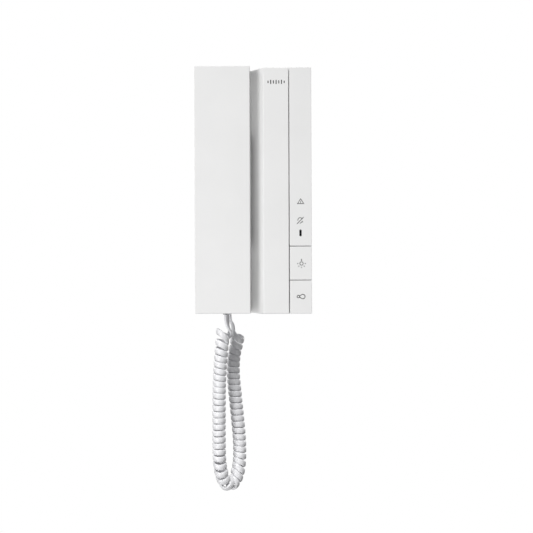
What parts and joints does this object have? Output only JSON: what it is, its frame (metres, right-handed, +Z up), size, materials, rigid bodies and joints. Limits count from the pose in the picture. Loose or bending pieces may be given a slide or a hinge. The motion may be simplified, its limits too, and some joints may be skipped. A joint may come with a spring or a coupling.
{
  "type": "wall door phone handset",
  "caption": "Slim white wall-mounted door-entry phone: a full-height handset lifts off a shallow base with two push keys and a lamp window, joined to it by a curly cord.",
  "frame": {"origin": "midway between the two wall screws, on the back face of the wall plate", "axes": "+X to the right as seen from the front, +Y into the wall, +Z up"},
  "size_m": [0.098, 0.037, 0.3568],
  "materials": {
    "shell_white": "fine matte moulded white",
    "key_white": "fine matte moulded white",
    "plate_white": "plain moulded white",
    "cord_white": "smooth satin white cable jacket",
    "plug_clear": "clear moulded connector",
    "black_plastic": "black moulded",
    "smoked_lens": "smoked dark lens",
    "lamp_lens": "tinted lamp",
    "board_green": "solder mask over glass-fibre board",
    "screw_steel": "zinc plated steel",
    "terminal_green": "green moulded terminal",
    "can_aluminium": "drawn metal can",
    "gasket_rubber": "soft black seal",
    "stem_plastic": "natural acetal",
    "wire_red": "thin insulated two-core wire"
  },
  "bodies": {
    "base": {"base_cord_jack": "black_plastic", "base_cord_lead": "cord_white", "base_cord_plug": "plug_clear", "board_capacitors": "can_aluminium", "board_screws": "screw_steel", "call_sounder": "black_plastic", "circuit_board": "board_green", "control_chip": "black_plastic", "cord_coil": "cord_white", "cover_screw": "screw_steel", "door_switch": "black_plastic", "front_cover": "shell_white", "handset_cord_lead": "cord_white", "hook_spring": "screw_steel", "hook_switch": "black_plastic", "hook_wire": "wire_red", "indicator_led": "lamp_lens", "indicator_window": "smoked_lens", "light_switch": "black_plastic", "side_panel": "key_white", "sounder_gasket": "gasket_rubber", "sounder_wire": "wire_red", "terminal_block": "terminal_green", "terminal_screws": "screw_steel", "wall_plate": "plate_white"},
    "handset": {"handset_front_shell": "shell_white", "handset_rear_shell": "shell_white", "handset_screws": "screw_steel", "receiver_capsule": "can_aluminium", "receiver_gasket": "gasket_rubber", "microphone_capsule": "can_aluminium", "microphone_boot": "gasket_rubber", "handset_board": "board_green", "handset_cord_jack": "black_plastic", "handset_cord_plug": "plug_clear", "receiver_wire": "wire_red", "microphone_wire": "wire_red"},
    "hook": {"hook_plunger": "stem_plastic"},
    "light_key": {"light_button": "key_white", "light_switch_stem": "stem_plastic"},
    "door_key": {"door_button": "key_white", "door_switch_stem": "stem_plastic"}
  },
  "joints": [
    {"name": "handset_lift", "type": "slide", "parent": "base", "child": "handset", "axis": [0, -0.8662, 0.4998], "range_m": [0, 0.09]},
    {"name": "hook_plunger_slide", "type": "slide", "parent": "base", "child": "hook", "axis": [0, -1, 0], "range_m": [0, 0.003]},
    {"name": "light_press", "type": "slide", "parent": "base", "child": "light_key", "axis": [0, 1, 0], "range_m": [0, 0.0012], "stiffness_N_per_m": 800},
    {"name": "door_press", "type": "slide", "parent": "base", "child": "door_key", "axis": [0, 1, 0], "range_m": [0, 0.0012], "stiffness_N_per_m": 800}
  ],
  "couplings": [
    {"joint": "hook_plunger_slide", "follows": "handset_lift", "ratio": 0.0333}
  ]
}
